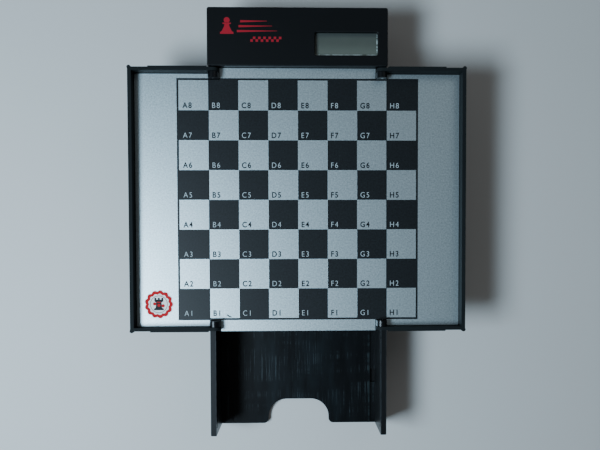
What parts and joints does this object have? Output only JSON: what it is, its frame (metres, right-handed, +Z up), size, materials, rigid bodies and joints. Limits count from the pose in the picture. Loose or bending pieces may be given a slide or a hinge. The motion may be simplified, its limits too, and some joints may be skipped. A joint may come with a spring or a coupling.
{
  "type": "travel chess computer",
  "caption": "Pocket electronic chess computer: black case with display head, sliding board over a keypad, fold-out side wings and an open front bay.",
  "frame": {"origin": "centre of the whole outline, on the surface that the rubber feet stand on", "axes": "+Z up, +Y towards the display head (the long way of the case), +X towards the player's right"},
  "size_m": [0.2025, 0.26, 0.0444],
  "materials": {
    "case_plastic": "fine spark-eroded black plastic",
    "deck_plastic": "fine textured black plastic",
    "board_plastic": "fine textured black plastic",
    "runner_plastic": "smooth self-lubricating plastic",
    "inner_plastic": "plain moulded plastic",
    "key_plastic": "light grey moulded plastic",
    "switch_plastic": "red moulded plastic",
    "chip_plastic": "epoxy package",
    "buzzer_plastic": "moulded plastic",
    "printed_sheet": "silver grained sheet with screen-printed squares",
    "rubber": "matt rubber",
    "strip_rubber": "conductive silicone strips",
    "screw_steel": "zinc-plated",
    "bright_steel": "nickel-plated",
    "battery_can": "printed foil on steel",
    "circuit_board": "solder mask on glass-fibre board",
    "lens": "clear acrylic window",
    "display": "grey-green liquid crystal cell"
  },
  "bodies": {
    "case": {"case_tray": "case_plastic", "head_cover": "case_plastic", "keypad_deck": "deck_plastic", "key_mat": "rubber", "case_screws": "screw_steel", "rubber_feet": "rubber", "lcd_window": "lens", "lcd_glass": "display", "lcd_holder": "inner_plastic", "contact_strips": "strip_rubber", "main_board": "circuit_board", "processor_chip": "chip_plastic", "memory_chips": "chip_plastic", "crystal_can": "bright_steel", "piezo_buzzer": "buzzer_plastic", "power_jack": "inner_plastic", "switch_body": "inner_plastic", "battery_cells": "battery_can", "battery_holder": "inner_plastic", "battery_contacts": "bright_steel", "battery_door": "case_plastic"},
    "board": {"board_carrier": "board_plastic", "centre_sheet": "printed_sheet", "left_runner": "runner_plastic", "right_runner": "runner_plastic", "hinge_pins": "bright_steel"},
    "left_wing": {"left_wing_tray": "board_plastic", "left_sheet": "printed_sheet"},
    "right_wing": {"right_wing_tray": "board_plastic", "right_sheet": "printed_sheet"},
    "power_switch": {"switch_knob": "switch_plastic"},
    "key_a1": {"key_a1": "key_plastic"},
    "key_b2": {"key_b2": "key_plastic"},
    "key_c3": {"key_c3": "key_plastic"},
    "key_d4": {"key_d4": "key_plastic"},
    "key_e5": {"key_e5": "key_plastic"},
    "key_f6": {"key_f6": "key_plastic"},
    "key_g7": {"key_g7": "key_plastic"},
    "key_h8": {"key_h8": "key_plastic"},
    "key_info": {"key_info": "key_plastic"},
    "key_memory": {"key_memory": "key_plastic"},
    "key_position": {"key_position": "key_plastic"},
    "key_level": {"key_level": "key_plastic"},
    "key_reset": {"key_reset": "key_plastic"},
    "key_turn": {"key_turn": "key_plastic"},
    "key_clear": {"key_clear": "key_plastic"},
    "key_enter": {"key_enter": "key_plastic"}
  },
  "joints": [
    {"name": "board_slide", "type": "slide", "parent": "case", "child": "board", "axis": [0, -1, 0], "range_m": [0, 0.065]},
    {"name": "left_wing_fold", "type": "hinge", "parent": "board", "child": "left_wing", "pos_m": [-0.0507, 0, 0.0409], "axis": [0, 1, 0], "range_deg": [0, 180]},
    {"name": "right_wing_fold", "type": "hinge", "parent": "board", "child": "right_wing", "pos_m": [0.0507, 0, 0.0409], "axis": [0, -1, 0], "range_deg": [0, 180]},
    {"name": "power_switch_slide", "type": "slide", "parent": "case", "child": "power_switch", "axis": [0, -1, 0], "range_m": [0, 0.004]},
    {"name": "key_a1_press", "type": "slide", "parent": "case", "child": "key_a1", "axis": [0, 0, -1], "range_m": [0, 0.0008], "stiffness_N_per_m": 400, "springref_m": -0.0004},
    {"name": "key_b2_press", "type": "slide", "parent": "case", "child": "key_b2", "axis": [0, 0, -1], "range_m": [0, 0.0008], "stiffness_N_per_m": 400, "springref_m": -0.0004},
    {"name": "key_c3_press", "type": "slide", "parent": "case", "child": "key_c3", "axis": [0, 0, -1], "range_m": [0, 0.0008], "stiffness_N_per_m": 400, "springref_m": -0.0004},
    {"name": "key_d4_press", "type": "slide", "parent": "case", "child": "key_d4", "axis": [0, 0, -1], "range_m": [0, 0.0008], "stiffness_N_per_m": 400, "springref_m": -0.0004},
    {"name": "key_e5_press", "type": "slide", "parent": "case", "child": "key_e5", "axis": [0, 0, -1], "range_m": [0, 0.0008], "stiffness_N_per_m": 400, "springref_m": -0.0004},
    {"name": "key_f6_press", "type": "slide", "parent": "case", "child": "key_f6", "axis": [0, 0, -1], "range_m": [0, 0.0008], "stiffness_N_per_m": 400, "springref_m": -0.0004},
    {"name": "key_g7_press", "type": "slide", "parent": "case", "child": "key_g7", "axis": [0, 0, -1], "range_m": [0, 0.0008], "stiffness_N_per_m": 400, "springref_m": -0.0004},
    {"name": "key_h8_press", "type": "slide", "parent": "case", "child": "key_h8", "axis": [0, 0, -1], "range_m": [0, 0.0008], "stiffness_N_per_m": 400, "springref_m": -0.0004},
    {"name": "key_info_press", "type": "slide", "parent": "case", "child": "key_info", "axis": [0, 0, -1], "range_m": [0, 0.0008], "stiffness_N_per_m": 400, "springref_m": -0.0004},
    {"name": "key_memory_press", "type": "slide", "parent": "case", "child": "key_memory", "axis": [0, 0, -1], "range_m": [0, 0.0008], "stiffness_N_per_m": 400, "springref_m": -0.0004},
    {"name": "key_position_press", "type": "slide", "parent": "case", "child": "key_position", "axis": [0, 0, -1], "range_m": [0, 0.0008], "stiffness_N_per_m": 400, "springref_m": -0.0004},
    {"name": "key_level_press", "type": "slide", "parent": "case", "child": "key_level", "axis": [0, 0, -1], "range_m": [0, 0.0008], "stiffness_N_per_m": 400, "springref_m": -0.0004},
    {"name": "key_reset_press", "type": "slide", "parent": "case", "child": "key_reset", "axis": [0, 0, -1], "range_m": [0, 0.0008], "stiffness_N_per_m": 400, "springref_m": -0.0004},
    {"name": "key_turn_press", "type": "slide", "parent": "case", "child": "key_turn", "axis": [0, 0, -1], "range_m": [0, 0.0008], "stiffness_N_per_m": 400, "springref_m": -0.0004},
    {"name": "key_clear_press", "type": "slide", "parent": "case", "child": "key_clear", "axis": [0, 0, -1], "range_m": [0, 0.0008], "stiffness_N_per_m": 400, "springref_m": -0.0004},
    {"name": "key_enter_press", "type": "slide", "parent": "case", "child": "key_enter", "axis": [0, 0, -1], "range_m": [0, 0.0008], "stiffness_N_per_m": 400, "springref_m": -0.0004}
  ]
}
